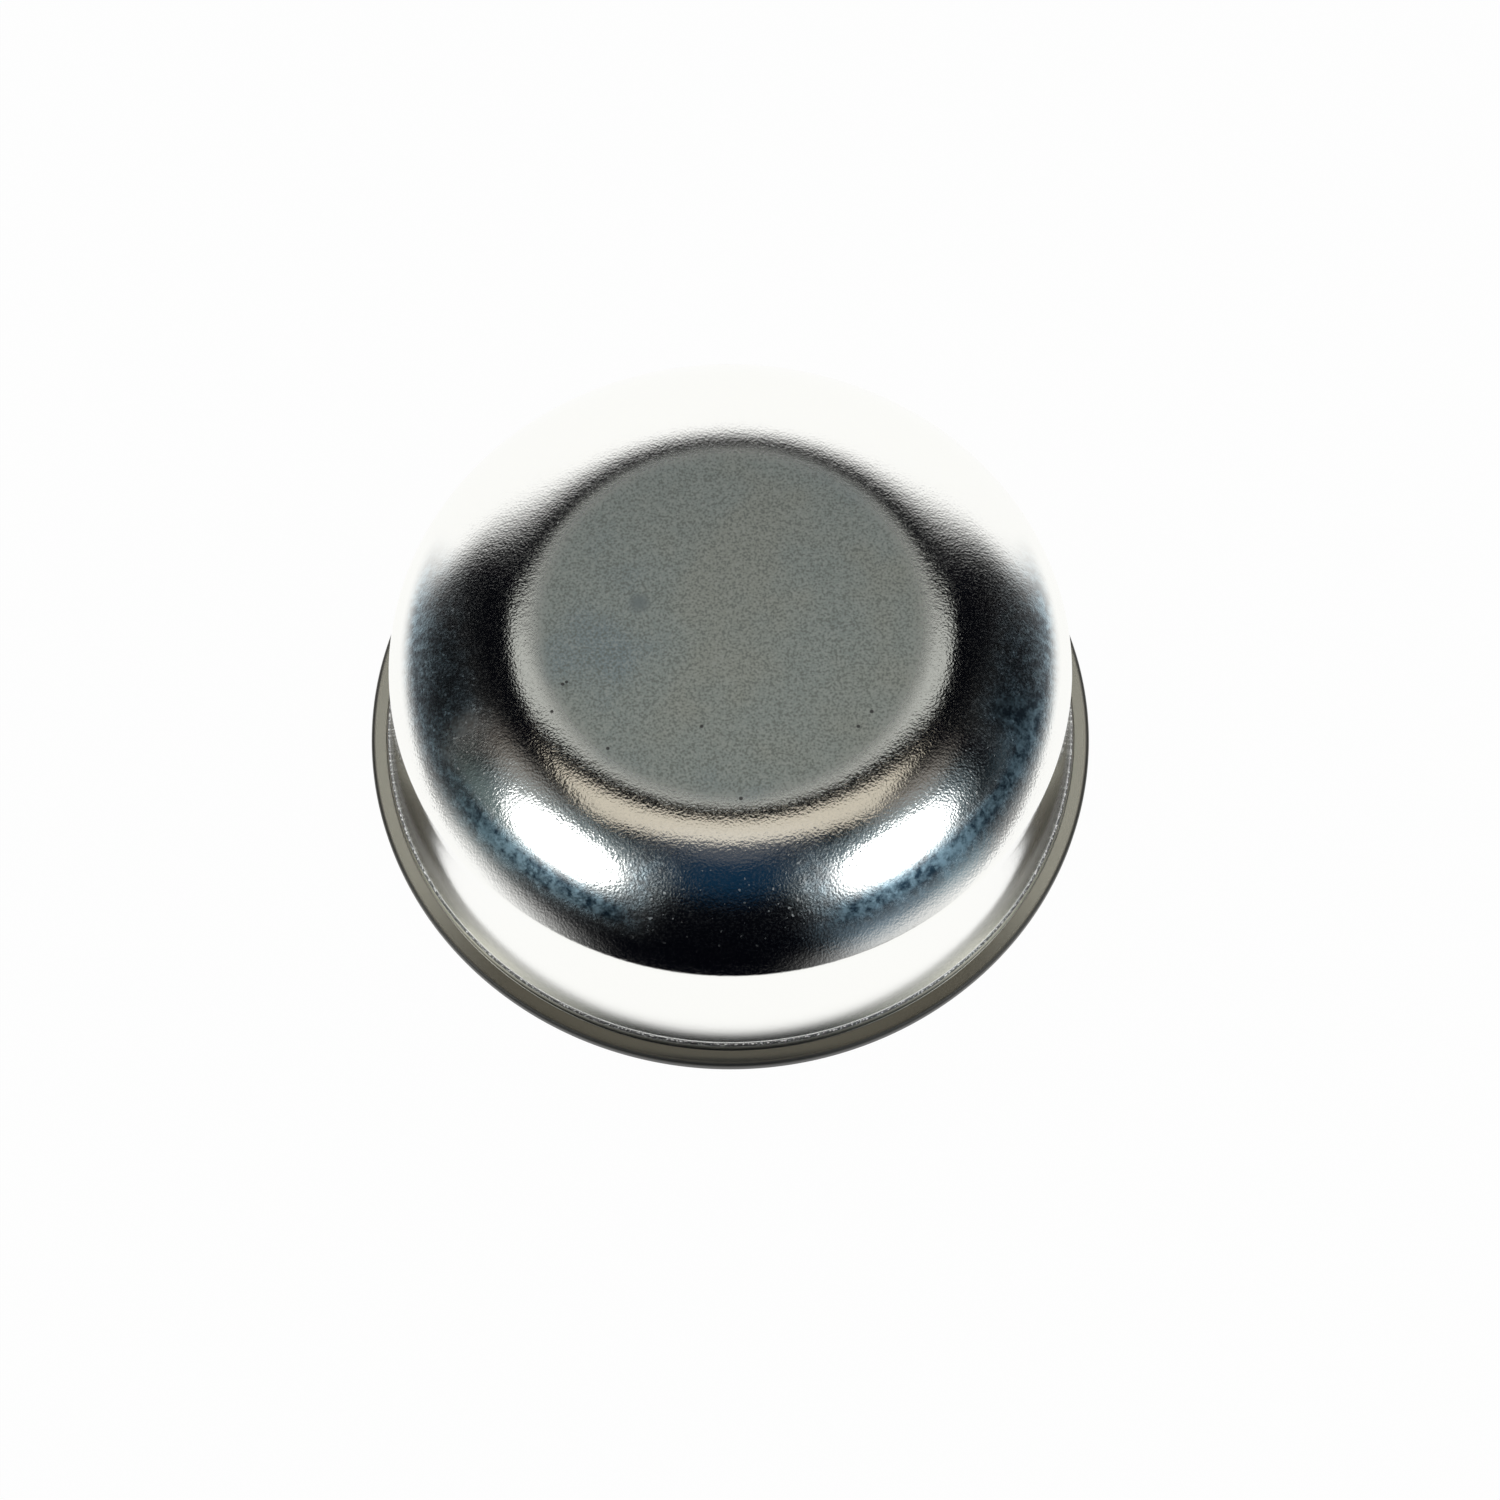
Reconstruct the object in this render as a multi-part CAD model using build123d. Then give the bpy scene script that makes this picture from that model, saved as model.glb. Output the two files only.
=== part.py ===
"""Hub grease cap: one deep-drawn steel cup with a flat crown, a round shoulder that breaks
sharply into a straight wall, and a flared foot that ends in a narrow coined flange.

Millimetres, +Z up. The origin is the middle of the flange's underside, so the cap stands
mouth down on Z = 0 with its axis along +Z.
"""
import os
from math import asin, cos, degrees, radians, sin, tan

from build123d import *

# Driving dimensions
sheet = 1.0             # thickness of the steel sheet
wall_diameter = 56.7    # outside of the straight wall
wall_length = 6.5       # straight part of the wall, which grips the hub
crown_round = 15.5      # outside arc that leads the flat crown down the shoulder
crown_turn = 52.5       # degrees that this arc turns
shoulder_round = 1.0    # tight outside bend from the shoulder into the wall
flare_turn = 12.0       # degrees that the lower wall opens out
flare_reach = 1.0       # distance outwards that the lower wall takes
foot_round = 1.8        # outside arc from the lower wall into the foot
foot_turn = 50.0        # degrees from upright at which the foot ends
step_height = 0.65      # drop from the foot to the ring that is coined flat
step_run = 0.15         # distance outwards that the step takes for that drop
flange_width = 1.4      # flat coined ring, from the step to the trimmed rim

crown_angle = radians(crown_turn)
flare_angle = radians(flare_turn)
foot_angle = radians(foot_turn)

# Radii that follow, from the flat crown out to the rim
wall_radius = wall_diameter / 2
crown_flat = wall_radius - crown_round * sin(crown_angle) - shoulder_round * (1 - sin(crown_angle))
flare_radius = wall_radius + flare_reach
foot_radius = flare_radius + foot_round * (cos(flare_angle) - cos(foot_angle))
ring_inner = foot_radius + step_run
rim_radius = ring_inner + flange_width

# Heights that follow, from the flange up to the crown
foot_height = sheet + step_height
flare_bottom = foot_height + foot_round * (sin(foot_angle) - sin(flare_angle))
wall_bottom = flare_bottom + flare_reach / tan(flare_angle)
wall_top = wall_bottom + wall_length
shoulder_top = wall_top + shoulder_round * cos(crown_angle)
cap_height = shoulder_top + crown_round * (1 - cos(crown_angle))

# The inner skin lies one sheet inside the outer one. Its crown arc runs on to the inner wall,
# and below the wall it has two plain tapers that meet opposite the middle of the foot's arc.
inner_radius = wall_radius - sheet
inner_turn = degrees(asin((inner_radius - crown_flat) / (crown_round - sheet)))
inner_wall_bottom = wall_bottom - sheet * tan(flare_angle / 2)
taper_top = foot_height - sheet * sin(foot_angle)
taper_radius = foot_radius - sheet * cos(foot_angle)
mouth_radius = taper_radius + taper_top * tan(foot_angle)
fold_length = (foot_round + sheet) * tan((foot_angle - flare_angle) / 2)
fold_radius = taper_radius - fold_length * sin(foot_angle)
fold_height = taper_top + fold_length * cos(foot_angle)

# Half section of the sheet, closed along the axis and round the flange, then turned.
with BuildPart() as cap:
    with BuildSketch(Plane.XZ):
        with BuildLine():
            crown = Line((0, cap_height), (crown_flat, cap_height))
            crown_arc = JernArc(crown @ 1, crown % 1, crown_round, -crown_turn)
            shoulder_arc = JernArc(crown_arc @ 1, crown_arc % 1, shoulder_round, crown_turn - 90)
            wall = Line(shoulder_arc @ 1, (wall_radius, wall_bottom))
            flare = Line(wall @ 1, (flare_radius, flare_bottom))
            foot_arc = JernArc(flare @ 1, flare % 1, foot_round, foot_turn - flare_turn)

            inner_crown = Line((0, cap_height - sheet), (crown_flat, cap_height - sheet))
            inner_arc = JernArc(inner_crown @ 1, inner_crown % 1, crown_round - sheet, -inner_turn)
            Line(crown @ 0, inner_crown @ 0)
            Polyline(
                foot_arc @ 1,
                (ring_inner, sheet),
                (rim_radius, sheet),
                (rim_radius, 0),
                (mouth_radius, 0),
                (fold_radius, fold_height),
                (inner_radius, inner_wall_bottom),
                inner_arc @ 1,
            )
        make_face()
    revolve(axis=Axis.Z)

os.makedirs("parts", exist_ok=True)
export_step(cap.part, "parts/grease_cap.step")
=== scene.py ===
"""Hub grease cap, standing mouth down on a white sheet in a small studio.

Metres, +Z up, in the same frame as the solid: the origin is the middle of the flange's
underside and the cap's axis is +Z.
"""

from math import cos, pi, radians, sin, tan

import bpy
from mathutils import Matrix, Vector


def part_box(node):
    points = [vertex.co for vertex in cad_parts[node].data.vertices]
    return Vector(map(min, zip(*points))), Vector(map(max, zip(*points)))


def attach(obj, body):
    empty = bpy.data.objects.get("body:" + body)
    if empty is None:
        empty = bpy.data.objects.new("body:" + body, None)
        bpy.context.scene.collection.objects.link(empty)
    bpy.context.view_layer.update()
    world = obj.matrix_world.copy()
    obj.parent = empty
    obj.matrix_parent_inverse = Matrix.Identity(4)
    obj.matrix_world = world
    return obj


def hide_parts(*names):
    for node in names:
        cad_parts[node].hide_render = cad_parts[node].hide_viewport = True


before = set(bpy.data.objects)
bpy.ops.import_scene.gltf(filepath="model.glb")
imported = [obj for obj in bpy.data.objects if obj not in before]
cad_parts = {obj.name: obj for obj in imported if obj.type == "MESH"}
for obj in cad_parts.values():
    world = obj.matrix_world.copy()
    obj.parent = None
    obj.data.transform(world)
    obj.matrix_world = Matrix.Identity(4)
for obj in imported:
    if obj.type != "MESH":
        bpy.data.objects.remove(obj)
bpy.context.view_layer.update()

# The cap: one disc of 1 mm steel sheet, drawn to a cup over a punch, its wall flared at the foot
# and its flange coined and trimmed in the same press, then zinc plated. It is tapped over the
# hub's collar by its wall and stops on its flange.
mm = 0.001
low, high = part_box("grease_cap")
rim_radius = min(-low.x, -low.y, high.x, high.y)
cap_height = high.z
sheet = 1.0 * mm
wall_radius = 28.35 * mm
crown_round = 15.5 * mm
crown_turn = radians(52.5)
shoulder_round = 1.0 * mm
punch_round = 0.1 * mm
wall_turn = radians(3.0)
flare_round = 72.0 * mm
flare_turn = radians(11.0)
foot_round = 0.7 * mm
foot_turn = radians(50.0)
step_height = 0.65 * mm
step_run = 0.15 * mm
step_round = 0.12 * mm
flange_width = 1.4 * mm
rim_round = 0.3 * mm
burr_round = 0.12 * mm
mouth_round = 0.3 * mm
turn_segments = 320
crown_facets, shoulder_facets, flare_facets, foot_facets = 48, 14, 24, 14
step_facets, rim_facets, burr_facets, mouth_facets = 6, 8, 4, 5
step_support = 0.2 * mm
rim_support = 0.1 * mm

# Where the sheet bends, as radius and height of the outer skin.
ring_inner = rim_radius - flange_width
foot_radius = ring_inner - step_run
foot_height = sheet + step_height
taper_radius = foot_radius - foot_round * (cos(flare_turn) - cos(foot_turn))
taper_bottom = foot_height + foot_round * (sin(foot_turn) - sin(flare_turn))
shoulder_top = cap_height - crown_round * (1 - cos(crown_turn))
wall_top = shoulder_top - shoulder_round * cos(crown_turn)
bend_height = wall_top + shoulder_round * tan((pi / 2 - crown_turn) / 2)
flare_height = (
    taper_radius - wall_radius + taper_bottom * tan(flare_turn) - bend_height * tan(wall_turn)
) / (tan(flare_turn) - tan(wall_turn))
flare_radius = wall_radius + (bend_height - flare_height) * tan(wall_turn)
flare_tangent = flare_round * tan((flare_turn - wall_turn) / 2)
crown_flat = wall_radius - crown_round * sin(crown_turn) - shoulder_round * (1 - sin(crown_turn))

# The same bends as lengths along the outer skin, from the middle of the crown.
run_shoulder = crown_flat + crown_round * crown_turn
run_wall = run_shoulder + shoulder_round * (pi / 2 - crown_turn)
run_flare = run_wall + (wall_top - flare_height) / cos(wall_turn) - flare_tangent
run_taper = run_flare + flare_round * (flare_turn - wall_turn)
run_foot = run_taper + (flare_height - taper_bottom) / cos(flare_turn) - flare_tangent
run_step = run_foot + foot_round * (foot_turn - flare_turn)
run_ring = run_step + step_height
run_rim = run_ring + flange_width
run_under = run_rim + sheet


class Flow:
    """One socket of a node tree. Sums on it add Math nodes, and node() adds any other."""

    def __init__(self, tree, socket=None):
        self.tree = tree
        self.socket = socket

    def node(self, kind, settings, sockets, output=0):
        """Add a node: its settings first, then values or links for its sockets."""
        made = self.tree.nodes.new(kind)
        for name, value in settings.items():
            if name == "items":
                while len(made.index_switch_items) < value:
                    made.index_switch_items.new()
            else:
                setattr(made, name, value)
        for name, value in sockets.items():
            if isinstance(value, Flow):
                self.tree.links.new(value.socket, made.inputs[name])
            else:
                made.inputs[name].default_value = value
        return Flow(self.tree, made.outputs[output] if made.outputs else None)

    def out(self, output):
        """Another output of the same node."""
        return Flow(self.tree, self.socket.node.outputs[output])

    def math(self, operation, *values):
        return self.node("ShaderNodeMath", {"operation": operation}, dict(enumerate(values)))

    def vector(self, operation, *values, output=0):
        settings = {"operation": operation}
        return self.node("ShaderNodeVectorMath", settings, dict(enumerate(values)), output)

    def __add__(self, other):
        return self.math("ADD", self, other)

    def __sub__(self, other):
        return self.math("SUBTRACT", self, other)

    def __rsub__(self, other):
        return self.math("SUBTRACT", other, self)

    def __mul__(self, other):
        return self.math("MULTIPLY", self, other)

    def __truediv__(self, other):
        return self.math("DIVIDE", self, other)

    def __rtruediv__(self, other):
        return self.math("DIVIDE", other, self)

    def __abs__(self):
        return self.math("ABSOLUTE", self)

    __radd__ = __add__
    __rmul__ = __mul__

    def ease(self, start, end):
        """0 up to start, 1 from end on, and a smooth rise between them."""
        return self.node(
            "ShaderNodeMapRange",
            {"interpolation_type": "SMOOTHSTEP"},
            {"Value": self, "From Min": start, "From Max": end},
        )

    def blend(self, first, second):
        """first where this is 0, second where it is 1, for colours."""
        return self.node(
            "ShaderNodeMix", {"data_type": "RGBA"}, {0: self, 6: first, 7: second}, output=2
        )


# Marks on the zinc as millimetres right and back of the middle: pits in the plate, the scuffs of
# handling with their reach, a finger mark and a brown stain. Then two places kept clear of the painted
# dark blue haze: a place in front, and the run of the bands where the lamps' highlights fall.
twin_pits = [(-13.4, -5.8), (-13.1, -5.6)]
pits = [(-14.2, -8.2), (-2.3, -9.5), (11.2, -8.2), (10.1, -9.5), (0.8, -15.7), (-9.7, -11.4)]
scuffs = [
    (-20.3, -7.4, 0.7), (-22.0, -9.5, 0.5), (-17.2, -12.3, 0.6), (7.9, -21.1, 0.6), (5.9, -22.2, 0.8),
]
finger_mark = (-7.4, 1.5)
stain = (-20.4, -9.8)
clear_front = (0, -25)
lamp_highlight_run = crown_flat + 6.6 * mm


def zinc_plate():
    """Bright zinc on drawn steel: matt grain on the crown, drawing streaks and haze lower down, with
    painted reflection and shade in its colour: a dark blue haze, a dark front on the flange ring, a
    dark step edge with painted glints and a dark trimmed rim.
    """
    material = bpy.data.materials.new("zinc_plated_steel")
    material.use_nodes = True
    tree = material.node_tree
    tree.nodes.clear()
    flow = Flow(tree)
    place = flow.node("ShaderNodeTexCoord", {}, {}, output="Object")
    run = flow.node("ShaderNodeAttribute", {"attribute_name": "section_run"}, {}, output="Fac")
    level = flow.vector("MULTIPLY", place, (1 / mm, 1 / mm, 0))

    # Zones of the skin, from the crown to the inside.
    crown = 1 - run.ease(crown_flat - 1.4 * mm, crown_flat + 0.8 * mm)
    matt = 1 - run.ease(crown_flat - 0.8 * mm, crown_flat + 1.4 * mm)
    wall = run.ease(run_shoulder - 1 * mm, run_wall + 1 * mm)
    foot = run.ease(run_step - 5.5 * mm, run_step - 1.5 * mm)
    foot = foot * (1 - run.ease(run_step - 0.2 * mm, run_step))
    ring = run.ease(run_step, run_ring)
    inside = run.ease(run_under, run_under + 1 * mm)
    step_edge = 1 - (abs(run - run_step + 0.05 * mm) / mm).ease(0.12, 0.28)
    riser = run.ease(run_step - 0.05 * mm, run_step + 0.1 * mm)
    riser = riser * (1 - run.ease(run_ring - 0.1 * mm, run_ring + 0.1 * mm))
    cut = run.ease(run_rim - 0.35 * mm, run_rim - 0.1 * mm)
    cut = cut * (1 - run.ease(run_under - 0.1 * mm, run_under))

    def grain(scale, detail=2.0, roughness=0.55, where=place):
        sockets = {"Vector": where, "Scale": scale, "Detail": detail, "Roughness": roughness}
        return flow.node("ShaderNodeTexNoise", {}, sockets)

    def spot(middle, inner, outer):
        """1 within inner millimetres of the middle, easing to 0 at outer."""
        reach = flow.vector("DISTANCE", level, (*middle, 0), output="Value")
        return 1 - reach.ease(inner, outer)

    # The punch and die leave streaks that run down the skin.
    around = flow.vector("NORMALIZE", level)
    down = flow.node("ShaderNodeCombineXYZ", {}, {"Z": run * 2.0})
    streaks = grain(120.0, 1.0, 0.6, flow.vector("ADD", around, down))

    # The grain of the plate, from the finest to the broadest.
    glint = grain(5200.0, 0.0)
    peel = grain(5000.0, 1.0, 0.5)
    pebble = grain(1500.0, 0.0)
    fine = grain(1300.0, 3.0, 0.7)
    mottle = grain(260.0, 5.0, 0.7)
    cloud = grain(75.0, 3.0, 0.5)

    # A blue haze low on the shoulder, in front and at the sides: rougher zinc, whose dark blue mottled
    # colour is painted reflection of the dark room in front. It is kept off the bands where the lamps'
    # highlights fall, and off a place in front.
    x = flow.node("ShaderNodeSeparateXYZ", {}, {0: level})
    y = x.out("Y")
    ahead = (0.2 * x - y).ease(-6.0, 14.0)
    beside = (0.9 * abs(x) - 0.8 * y).ease(13.0, 23.0)
    front_and_sides = flow.math("MAXIMUM", ahead, 0.85 * beside)
    lower = run.ease(crown_flat + 3 * mm, crown_flat + 7 * mm)
    lower = lower * (1 - run.ease(run_shoulder - 3.4 * mm, run_shoulder - 1.2 * mm))
    sideways = abs(flow.node("ShaderNodeSeparateXYZ", {}, {0: around}))
    lamp_highlight_bands = sideways.ease(0.26, 0.40) * (1 - sideways.ease(0.86, 0.95))
    lamp_highlight_bands = lamp_highlight_bands * (1 - (abs(run - lamp_highlight_run) / mm).ease(2.0, 3.6))
    haze_and_painted_reflection = front_and_sides * lower * (1 - lamp_highlight_bands) * (1 - 0.95 * spot(clear_front, 4.0, 9.5))
    speck = (0.45 * mottle + 0.55 * fine).ease(0.40, 0.62)
    fleck = grain(3200.0, 0.0).ease(0.74, 0.84) * lower * (0.3 + 0.7 * front_and_sides)
    sparkle = glint.ease(0.46, 0.66) * (1 - wall) * (1 - matt)

    pitted = flow.math("MAXIMUM", spot(twin_pits[0], 0.05, 0.22), spot(twin_pits[1], 0.05, 0.2))
    for pit in pits:
        pitted = flow.math("MAXIMUM", pitted, spot(pit, 0.05, 0.24))
    pitted = (pitted * (0.5 + pebble)).ease(0.3, 0.6)
    scuffed = spot(scuffs[0][:2], 0.1, scuffs[0][2])
    for scuff in scuffs[1:]:
        scuffed = flow.math("MAXIMUM", scuffed, spot(scuff[:2], 0.1, scuff[2]))
    scuffed = scuffed * peel.ease(0.48, 0.62)
    fingered = spot(finger_mark, 0.2, 1.2)
    stained = (spot(stain, 0.0, 5.0) * (0.2 + 1.4 * mottle)).ease(0.15, 0.95) * (1 - crown)

    # Passivated zinc is nearly neutral, with faint films of green, straw and blue.
    shade = crown.blend((0.97, 0.97, 0.94, 1), (0.62, 0.685, 0.66, 1))
    shade = (crown * cloud.ease(0.48, 0.66)).blend(shade, (0.50, 0.60, 0.64, 1))
    shade = (crown * 0.35 * (1 - cloud.ease(0.34, 0.48))).blend(shade, (0.74, 0.71, 0.60, 1))
    shade = (crown * 0.75 * (1 - peel.ease(0.34, 0.50))).blend(shade, (0.36, 0.39, 0.37, 1))
    shade = (crown * 0.5 * peel.ease(0.54, 0.66)).blend(shade, (0.86, 0.89, 0.86, 1))
    # Painted reflection: the haze's dark blue mottle stands in for the dark room mirrored low on the
    # front and sides.
    shade = haze_and_painted_reflection.blend(shade, speck.blend((0.03, 0.06, 0.09, 1), (0.36, 0.52, 0.61, 1)))
    shade = (ring * 0.9).blend(shade, (0.90, 0.86, 0.74, 1))
    # Painted reflection: the front of the flange ring is darkened, standing in for the dark that it
    # mirrors there.
    shade = (ring * 0.85 * (0 - y).ease(14.0, 28.0)).blend(shade, (0.07, 0.075, 0.07, 1))
    # Painted shade and highlight: a dark line along the step's edge, with bright dots on it as painted
    # glints.
    shade = (step_edge * 0.9).blend(shade, (0.14, 0.14, 0.14, 1))
    shade = (step_edge * glint.ease(0.54, 0.62)).blend(shade, (1.0, 1.0, 0.97, 1))
    shade = (stained * 0.5).blend(shade, (0.80, 0.70, 0.61, 1))
    shade = (fingered * 0.8).blend(shade, (0.40, 0.46, 0.48, 1))
    shade = (pitted * 0.9).blend(shade, (0.10, 0.10, 0.10, 1))
    # Painted shade: the trimmed rim edge is darkened, standing in for the shade on the edge face.
    shade = (cut * 0.9).blend(shade, (0.07, 0.07, 0.068, 1))
    shade = (inside * 0.7).blend(shade, (0.66, 0.66, 0.63, 1))

    roughness = (
        0.10 + 0.20 * matt - 0.03 * wall + 0.17 * foot + 0.19 * ring + 0.15 * step_edge + 0.25 * riser
        + 0.2 * cut + 0.1 * inside + 0.19 * haze_and_painted_reflection + 0.2 * fleck + 0.05 * sparkle
        + 0.07 * stained + 0.15 * scuffed + 0.2 * pitted
    )
    relief = (
        0.22 * peel * (1 - 0.8 * wall)
        + 0.08 * pebble * (1 - 0.8 * wall)
        + 0.02 * streaks * (1 - crown) * (1 - wall)
        + 1.0 * step_edge * glint
    )
    depth = 0.05 * mm
    bump = flow.node("ShaderNodeBump", {}, {"Strength": 1.0, "Distance": depth, "Height": relief})
    skin = flow.node(
        "ShaderNodeBsdfPrincipled",
        {},
        {"Base Color": shade, "Metallic": 1.0, "Roughness": roughness, "Normal": bump},
    )
    flow.node("ShaderNodeOutputMaterial", {}, {"Surface": skin})
    return material


def skin_corners(depth):
    """Corners where the tangents of one skin's bends meet: radius, height, round and facets."""
    crown_arc = crown_round - depth
    shoulder_arc = max(shoulder_round - depth, punch_round)
    flare_arc = flare_round + depth
    foot_arc = foot_round + depth
    foot_run = foot_arc * tan((foot_turn - flare_turn) / 2)
    foot_end = (foot_radius - depth * cos(foot_turn), foot_height - depth * sin(foot_turn))
    foot_fold = (foot_end[0] - foot_run * sin(foot_turn), foot_end[1] + foot_run * cos(foot_turn))
    shoulder_rise = (shoulder_round - depth) * tan((pi / 2 - crown_turn) / 2)
    flare_sink = depth * tan((flare_turn - wall_turn) / 2)
    return [
        (0, cap_height - depth, 0, 1),
        (crown_flat + crown_arc * tan(crown_turn / 2), cap_height - depth, crown_arc, crown_facets),
        (wall_radius - depth, wall_top + shoulder_rise, shoulder_arc, shoulder_facets),
        (flare_radius - depth * cos(wall_turn), flare_height - flare_sink, flare_arc, flare_facets),
        (foot_fold[0], foot_fold[1], foot_arc, foot_facets),
    ]


mouth_rise = foot_height - sheet * sin(foot_turn)
mouth_radius = foot_radius - sheet * cos(foot_turn) + mouth_rise * tan(foot_turn)
corners = skin_corners(0) + [
    (foot_radius, foot_height, step_round, step_facets),
    (ring_inner, sheet, step_round, step_facets),
    (ring_inner + step_support, sheet, 0, 1),
    (rim_radius - rim_round - rim_support, sheet, 0, 1),
    (rim_radius, sheet, rim_round, rim_facets),
    (rim_radius, 0, burr_round, burr_facets),
    (mouth_radius, 0, mouth_round, mouth_facets),
] + skin_corners(sheet)[::-1]

tree = bpy.data.node_groups.new("turned_sheet", "GeometryNodeTree")
tree.interface.new_socket("Geometry", in_out="OUTPUT", socket_type="NodeSocketGeometry")
given = tree.nodes.new("NodeGroupInput")
settings = {}


def size_input(name, kind, value):
    """A named input of the tree, and the value that the modifier gives it."""
    socket = tree.interface.new_socket(name, in_out="INPUT", socket_type=kind)
    settings[socket.identifier] = value
    return Flow(tree, given.outputs[name])


flow = Flow(tree)
segments = size_input("Segments round the axis", "NodeSocketInt", turn_segments)
index = flow.node("GeometryNodeInputIndex", {}, {})
places, rounds, steps = {}, {}, {}
for number, (radius, height, corner_round, facets) in enumerate(corners):
    places[number + 1] = size_input(f"Corner {number}", "NodeSocketVector", (radius, -height, 0))
    rounds[number + 1] = size_input(f"Round {number}", "NodeSocketFloat", corner_round)
    steps[number + 1] = size_input(f"Facets {number}", "NodeSocketInt", facets)
count = len(corners)


def by_corner(kind, values):
    return flow.node(
        "GeometryNodeIndexSwitch", {"data_type": kind, "items": count}, {0: index, **values}
    )


points = flow.node("GeometryNodePoints", {}, {"Count": count, "Position": by_corner("VECTOR", places)})
outline = flow.node("GeometryNodePointsToCurves", {}, {0: points})
rounded = flow.node(
    "GeometryNodeFilletCurve",
    {"mode": "POLY"},
    {"Curve": outline, "Radius": by_corner("FLOAT", rounds), "Count": by_corner("INT", steps)},
)
run = flow.node("GeometryNodeSplineParameter", {}, {}, output="Length")
marked = flow.node(
    "GeometryNodeStoreNamedAttribute",
    {"data_type": "FLOAT", "domain": "POINT"},
    {"Geometry": rounded, "Name": "section_run", "Value": run},
)
# A sweep along a small circle turns the section, which is first drawn in by the circle's radius.
turn_radius = 1 * mm
weld_reach = 0.002 * mm
circle = flow.node(
    "GeometryNodeCurvePrimitiveCircle",
    {"mode": "RADIUS"},
    {"Resolution": segments, "Radius": turn_radius},
)
drawn_in = {"Geometry": marked, "Translation": (-turn_radius, 0, 0)}
shifted = flow.node("GeometryNodeTransform", {}, drawn_in)
turned = flow.node("GeometryNodeCurveToMesh", {}, {"Curve": circle, "Profile Curve": shifted})
closed = flow.node("GeometryNodeMergeByDistance", {}, {"Geometry": turned, "Distance": weld_reach})
smooth = flow.node("GeometryNodeSetShadeSmooth", {}, {"Geometry": closed, "Shade Smooth": True})
real = flow.node("GeometryNodeRealizeInstances", {}, {"Geometry": smooth})
finish = flow.node("GeometryNodeSetMaterial", {}, {"Geometry": real, "Material": zinc_plate()})
flow.node("NodeGroupOutput", {}, {"Geometry": finish})

cap = bpy.data.objects.new("drawn_cap", bpy.data.meshes.new("drawn_cap"))
bpy.context.scene.collection.objects.link(cap)
maker = cap.modifiers.new("turned_sheet", "NODES")
maker.node_group = tree
for identifier, value in settings.items():
    maker[identifier] = value
even = cap.modifiers.new("even_normals", "WEIGHTED_NORMAL")
even.keep_sharp = False
bpy.context.view_layer.update()
shape = cap.evaluated_get(bpy.context.evaluated_depsgraph_get())
mesh = bpy.data.meshes.new_from_object(shape)
cap.modifiers.clear()
cap.data = mesh
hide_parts("grease_cap")
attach(cap, "root")

# The white sheet that the cap stands on: matt card, laid flat, wide enough to reach the horizon
# that the cap mirrors.
card_half = 2.0
card_drop = 0.02 * mm
card_mesh = bpy.data.meshes.new("white_card")
card_mesh.from_pydata(
    [
        (-card_half, -card_half, -card_drop),
        (card_half, -card_half, -card_drop),
        (card_half, card_half, -card_drop),
        (-card_half, card_half, -card_drop),
    ],
    [],
    [(0, 1, 2, 3)],
)
card = bpy.data.objects.new("white_card", card_mesh)
bpy.context.scene.collection.objects.link(card)


def matt_card():
    """White to the camera and in mirrors, except far off in front, where mirrors see it dark grey as
    painted shade; a little of its own shading is left for the shadow.
    """
    material = bpy.data.materials.new("matt_card")
    material.use_nodes = True
    tree = material.node_tree
    tree.nodes.clear()
    flow = Flow(tree)
    place = flow.node("ShaderNodeTexCoord", {}, {}, output="Object")
    parts = flow.node("ShaderNodeSeparateXYZ", {}, {0: place})
    x, y = parts / mm, parts.out("Y") / mm
    reach = flow.math("SQRT", x * x + y * y)
    front = 1 - (y / reach).ease(-0.95, -0.45)
    far = reach.ease(60.0, 220.0)
    path = flow.node("ShaderNodeLightPath", {}, {}, output="Is Camera Ray")
    camera, mirror = path, path.out("Is Glossy Ray")
    paper = flow.node("ShaderNodeBsdfDiffuse", {}, {"Color": (0.9, 0.9, 0.9, 1)})
    # Painted shade: in mirrors the card far off in front is dark grey, standing in for the shade in
    # front of the cap.
    tone = (front * far * (1 - camera)).blend((1, 1, 1, 1), (0.22, 0.22, 0.22, 1))
    glow = flow.node("ShaderNodeEmission", {}, {"Color": tone, "Strength": 1.0})
    share = flow.math("MAXIMUM", camera * 0.98, mirror)
    mixed = flow.node("ShaderNodeMixShader", {}, {0: share, 1: paper, 2: glow})
    flow.node("ShaderNodeOutputMaterial", {}, {"Surface": mixed})
    return material


card_mesh.materials.append(matt_card())

# The room: a dark studio with a white board behind the cap and pale walls low down at the sides.
# To the camera it is white, like the card.
world = bpy.data.worlds.new("studio")
bpy.context.scene.world = world
world.use_nodes = True
tree = world.node_tree
tree.nodes.clear()
flow = Flow(tree)
way = flow.node("ShaderNodeTexCoord", {}, {}, output="Generated")
parts = flow.node("ShaderNodeSeparateXYZ", {}, {0: way})
x, y, z = parts, parts.out("Y"), parts.out("Z")
level = flow.math("SQRT", x * x + y * y) + 0.0001
zenith = flow.math("ARCCOSINE", z) * (180 / pi)
across = zenith * x / level
along = zenith * y / level
facing = y / level + 0.15 * x / level


def patch(right, back, inner, outer):
    """1 round one direction, as degrees right and back of the zenith, fading to 0 at outer."""
    a = across - right
    b = along - back
    return 1 - flow.math("SQRT", a * a + b * b).ease(inner, outer)


board = (along - 7 * abs(across).ease(15.0, 50.0)).ease(36.0, 50.0)
walls = 0.5 * zenith.ease(74.0, 97.0) * facing.ease(-0.95, -0.45)
corner = facing.ease(-0.97, -0.7) * (1 - facing.ease(-0.55, -0.2))
walls = walls + 0.5 * zenith.ease(72.0, 92.0) * corner
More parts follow.
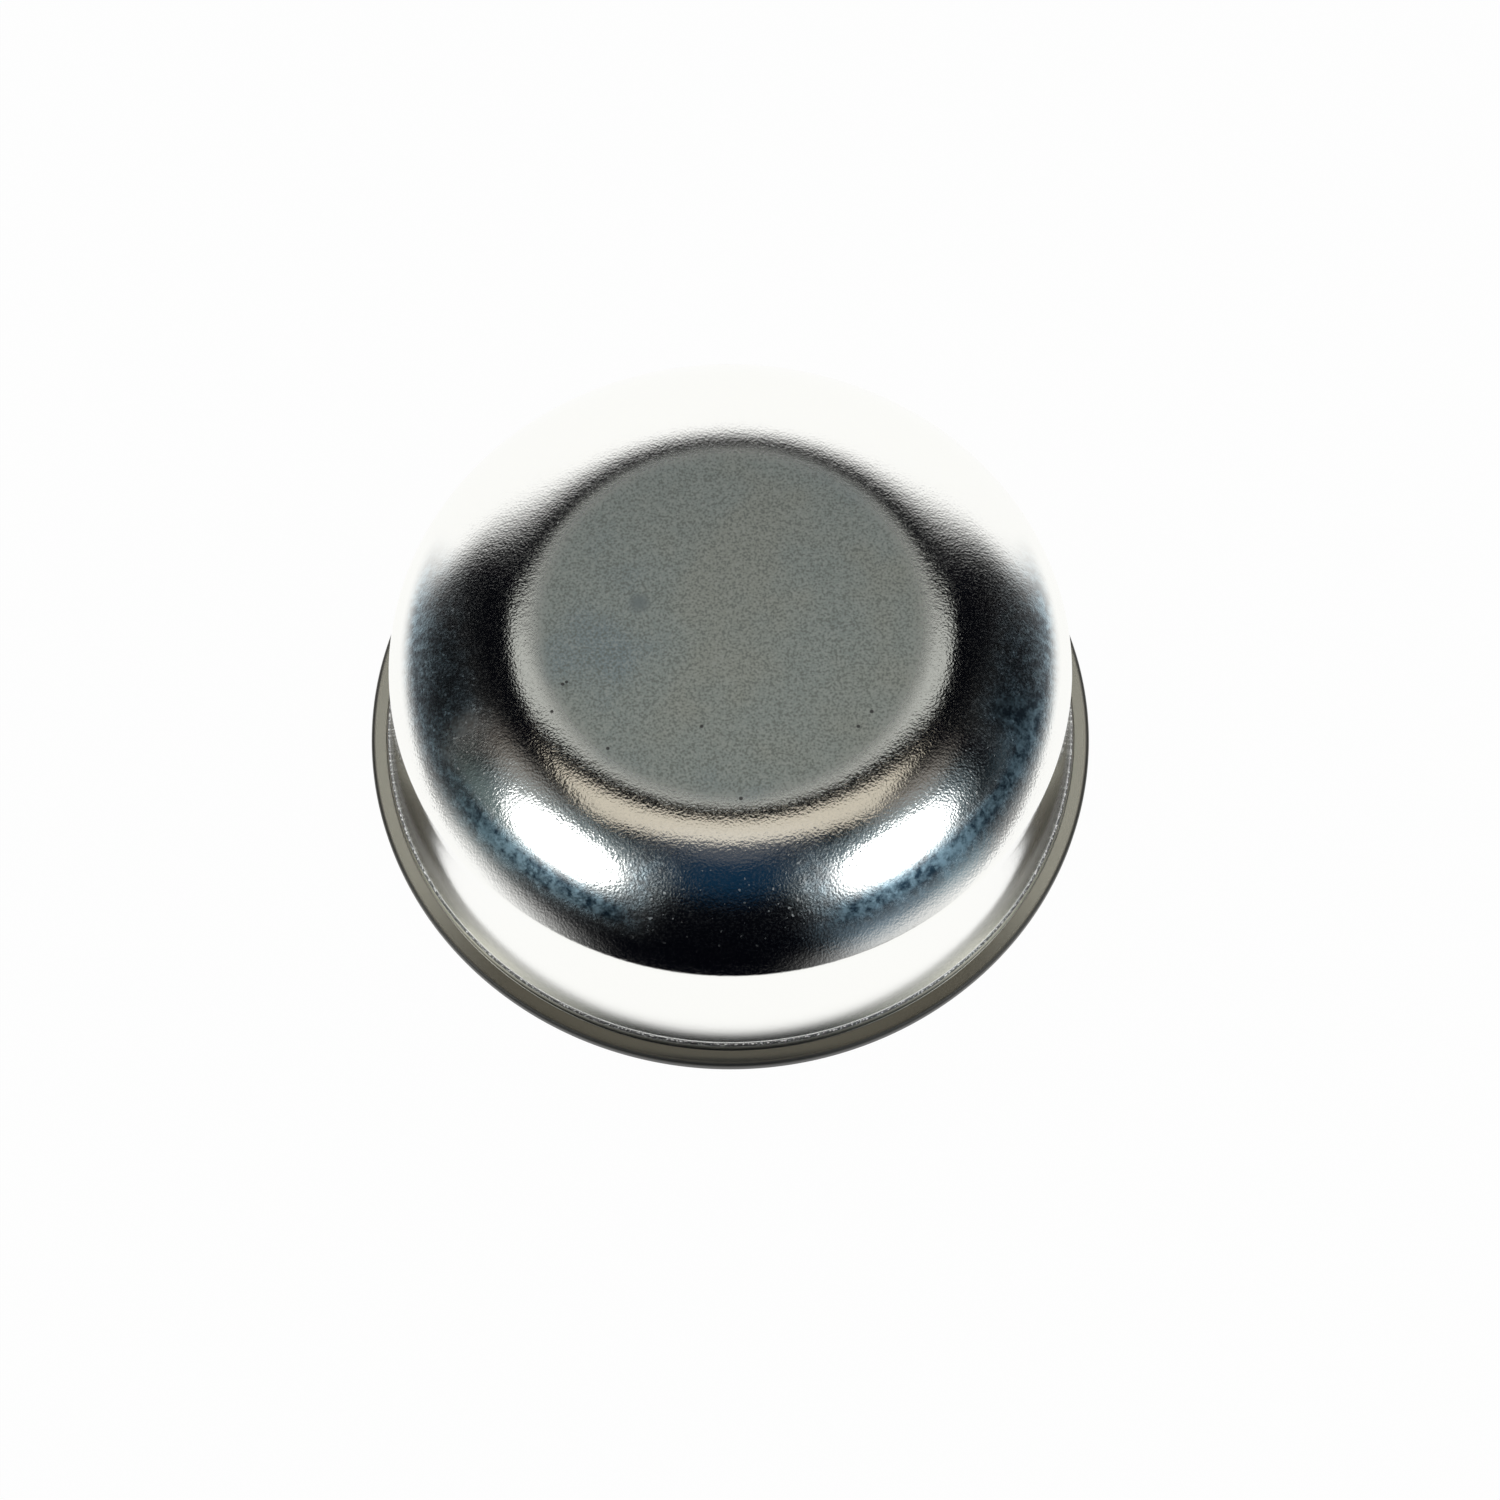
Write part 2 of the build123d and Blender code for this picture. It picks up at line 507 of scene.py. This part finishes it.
# The ceiling: navy in front, grey before the near panel and warm at that panel's ends.
shade = patch(0.0, -22.0, 4.0, 24.0).blend((0.0006, 0.0008, 0.002, 1), (0.003, 0.022, 0.052, 1))
shade = (patch(0.0, -6.0, 5.0, 15.0) * 0.9).blend(shade, (0.075, 0.085, 0.105, 1))
shade = patch(-36.0, -2.0, 2.0, 15.0).blend(shade, (0.22, 0.20, 0.18, 1))
shade = patch(30.0, -3.0, 2.0, 13.0).blend(shade, (0.22, 0.20, 0.18, 1))
# The glow round each softbox, and dim blue and green things low down at the sides.
shade = (patch(-37.0, -23.0, 12.0, 29.0) * 0.8).blend(shade, (0.30, 0.36, 0.38, 1))
shade = (patch(37.0, -25.0, 12.0, 29.0) * 0.8).blend(shade, (0.28, 0.36, 0.40, 1))
shade = (patch(-64.0, -20.0, 4.0, 30.0) * 0.9).blend(shade, (0.14, 0.185, 0.185, 1))
shade = (patch(66.0, -38.0, 4.0, 25.0) * 0.9).blend(shade, (0.16, 0.25, 0.30, 1))
shade = (patch(74.0, 6.0, 4.0, 22.0) * 0.9).blend(shade, (0.06, 0.09, 0.11, 1))
shade = (patch(48.0, -58.0, 4.0, 26.0) * 0.9).blend(shade, (0.14, 0.20, 0.25, 1))
shade = flow.math("MAXIMUM", board, walls).blend(shade, (1, 1, 1, 1))
camera = flow.node("ShaderNodeLightPath", {}, {}, output="Is Camera Ray")
shown = camera.blend(shade, (1, 1, 1, 1))
back = flow.node("ShaderNodeBackground", {}, {"Color": shown, "Strength": 1.0})
flow.node("ShaderNodeOutputWorld", {}, {"Surface": back})

# The lamps: an oval softbox to each side in front, and two long ceiling panels overhead, the near
# one warm and the far one neutral. Each is turned to face the cap.
lamp_distance = 0.9


def lamp(name, form, right, back, width, depth, shade, radiance):
    """A lamp of that form at degrees right and back of the zenith, with its sides in degrees."""
    flat = (right ** 2 + back ** 2) ** 0.5
    zenith = radians(flat)
    way = Vector((sin(zenith) * right / flat, sin(zenith) * back / flat, cos(zenith)))
    side = (Vector((1, 0, 0)) - way * way.x).normalized()
    light = bpy.data.lights.new(name, "AREA")
    light.shape = form
    light.size = 2 * lamp_distance * tan(radians(width / 2))
    light.size_y = 2 * lamp_distance * tan(radians(depth / 2))
    area = light.size * light.size_y * (pi / 4 if form == "ELLIPSE" else 1)
    light.energy = radiance * pi * area
    light.color = shade
    thing = bpy.data.objects.new(name, light)
    turn = Matrix((side, way.cross(side), way)).transposed()
    thing.matrix_world = Matrix.Translation(way * lamp_distance) @ turn.to_4x4()
    thing.visible_camera = False
    bpy.context.scene.collection.objects.link(thing)


lamp("softbox_left", "ELLIPSE", -37.0, -24.0, 28.0, 27.5, (1.0, 1.0, 1.0), 2.2)
lamp("softbox_right", "ELLIPSE", 37.0, -26.0, 29.0, 29.0, (1.0, 1.0, 1.0), 2.2)
lamp("near_panel", "RECTANGLE", 0.5, 2.0, 42.0, 14.0, (1.0, 0.91, 0.76), 0.60)
lamp("far_panel", "RECTANGLE", 0.5, 23.0, 38.0, 10.5, (0.98, 1.0, 0.95), 0.47)

# The camera: above and in front of the cap, with the flange's middle a little left of and above
# the middle of the frame.
view_distance = 220.5 * mm
view_height = radians(65.42)
focal_px = 2498.9
frame_px = 1500
middle_px = (730.72, 725.14)
stand = Vector((0, -cos(view_height), sin(view_height))) * view_distance
right = Vector((1, 0, 0))
forward = -stand.normalized()
up = right.cross(forward)
offset_x = (middle_px[0] - frame_px / 2) / focal_px
offset_y = (middle_px[1] - frame_px / 2) / focal_px
axis = (forward - right * offset_x + up * offset_y).normalized()
side = (right - axis * right.dot(axis)).normalized()
turn = Matrix((side, side.cross(axis), -axis)).transposed()
lens = bpy.data.cameras.new("camera")
lens.sensor_width = 36.0
lens.lens = lens.sensor_width * focal_px / frame_px
lens.clip_start = 0.01
viewer = bpy.data.objects.new("camera", lens)
viewer.matrix_world = Matrix.Translation(stand) @ turn.to_4x4()
bpy.context.scene.collection.objects.link(viewer)
bpy.context.scene.camera = viewer
bpy.context.scene.view_settings.view_transform = "Standard"
